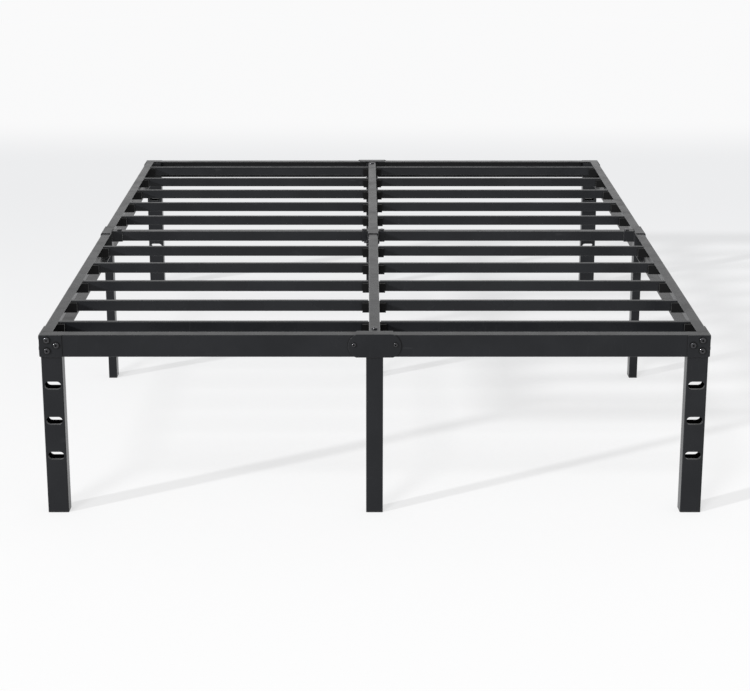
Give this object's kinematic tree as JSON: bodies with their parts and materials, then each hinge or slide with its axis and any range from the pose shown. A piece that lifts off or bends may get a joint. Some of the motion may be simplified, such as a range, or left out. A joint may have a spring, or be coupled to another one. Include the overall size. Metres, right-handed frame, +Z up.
{
  "type": "metal bed frame",
  "caption": "Low platform bed frame in black powder-coated steel: channel rails, cross slats, slotted corner legs and bolted support legs.",
  "frame": {"origin": "on the floor under the middle of the frame", "axes": "+X to the bed's right seen from its front end, +Y from the front end to the rear end, +Z up"},
  "size_m": [1.5354, 2.0434, 0.4368],
  "materials": {
    "powder_coat": "satin black powder coat with a fine orange-peel grain",
    "black_fasteners": "black-oxide steel, semi-gloss",
    "moulded_nylon": "matt moulded black nylon"
  },
  "bodies": {
    "root": {"corner_leg_front_left": "powder_coat", "corner_bracket_front_left": "powder_coat", "front_rail_left": "powder_coat", "side_rail_left_front": "powder_coat", "corner_leg_front_right": "powder_coat", "corner_bracket_front_right": "powder_coat", "front_rail_right": "powder_coat", "side_rail_right_front": "powder_coat", "corner_leg_rear_left": "powder_coat", "corner_bracket_rear_left": "powder_coat", "rear_rail_left": "powder_coat", "side_rail_left_rear": "powder_coat", "corner_leg_rear_right": "powder_coat", "corner_bracket_rear_right": "powder_coat", "rear_rail_right": "powder_coat", "side_rail_right_rear": "powder_coat", "center_leg_front": "powder_coat", "center_leg_middle": "powder_coat", "center_leg_rear": "powder_coat", "side_leg_left": "powder_coat", "side_leg_right": "powder_coat", "saddle_front": "powder_coat", "saddle_middle": "powder_coat", "saddle_rear": "powder_coat", "saddle_side_left": "powder_coat", "saddle_side_right": "powder_coat", "center_rail_front": "powder_coat", "center_rail_rear": "powder_coat", "center_rail_tongues": "powder_coat", "tie_bar_left": "powder_coat", "tie_bar_right": "powder_coat", "tie_bar_sleeves": "powder_coat", "slat_left_01": "powder_coat", "slat_left_02": "powder_coat", "slat_left_03": "powder_coat", "slat_left_04": "powder_coat", "slat_left_05": "powder_coat", "slat_left_06": "powder_coat", "slat_left_07": "powder_coat", "slat_left_08": "powder_coat", "slat_left_09": "powder_coat", "slat_left_10": "powder_coat", "slat_right_01": "powder_coat", "slat_right_02": "powder_coat", "slat_right_03": "powder_coat", "slat_right_04": "powder_coat", "slat_right_05": "powder_coat", "slat_right_06": "powder_coat", "slat_right_07": "powder_coat", "slat_right_08": "powder_coat", "slat_right_09": "powder_coat", "slat_right_10": "powder_coat", "slat_sockets_side": "moulded_nylon", "slat_holders_center": "moulded_nylon", "foot_caps": "moulded_nylon", "corner_bolts": "black_fasteners", "corner_nuts": "black_fasteners", "m6_short_bolts": "black_fasteners", "m6_wide_bolts": "black_fasteners", "m6_long_bolts": "black_fasteners", "m6_nuts": "black_fasteners"}
  },
  "joints": []
}
